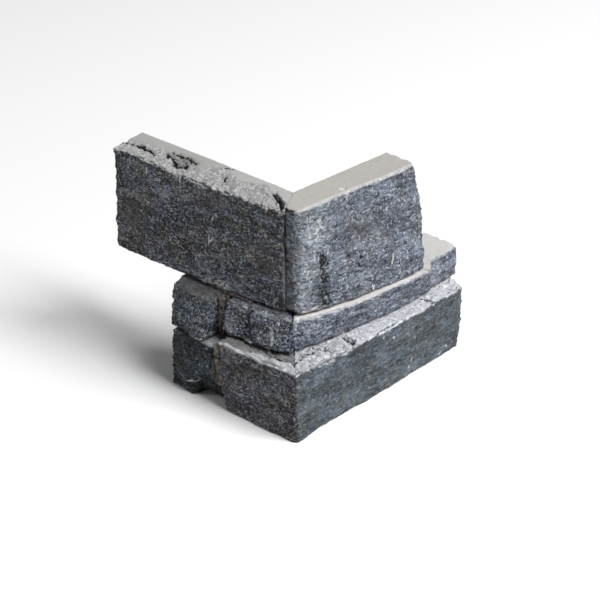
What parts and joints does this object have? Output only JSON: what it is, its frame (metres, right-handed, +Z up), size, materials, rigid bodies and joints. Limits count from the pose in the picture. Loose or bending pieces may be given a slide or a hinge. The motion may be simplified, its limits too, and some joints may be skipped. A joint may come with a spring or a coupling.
{
  "type": "stone wall cladding corner",
  "caption": "L-shaped corner unit of split stone strips bonded in courses with stepped riven faces, sawn backs and staggered ends for wrapping an outside wall corner.",
  "frame": {"origin": "middle of the bounding box at the foot, on the floor plane", "axes": "+Z up; the left leg runs along -X with its sawn back facing +Y; the right leg runs along +Y with its sawn back facing -X"},
  "size_m": [0.2018, 0.196, 0.15],
  "materials": {
    "stone": "split quartzite slate, blue-grey with pale flecks, sawn faces pale beige-grey",
    "mortar": "dark grey-brown bonding mortar, matt"
  },
  "bodies": {
    "root": {"top_left_stone": "stone", "top_right_stone": "stone", "middle_end_stone": "stone", "middle_left_stone": "stone", "middle_right_stone": "stone", "bottom_end_stone": "stone", "bottom_left_stone": "stone", "bottom_right_stone": "stone", "joint_mortar": "mortar"}
  },
  "joints": []
}
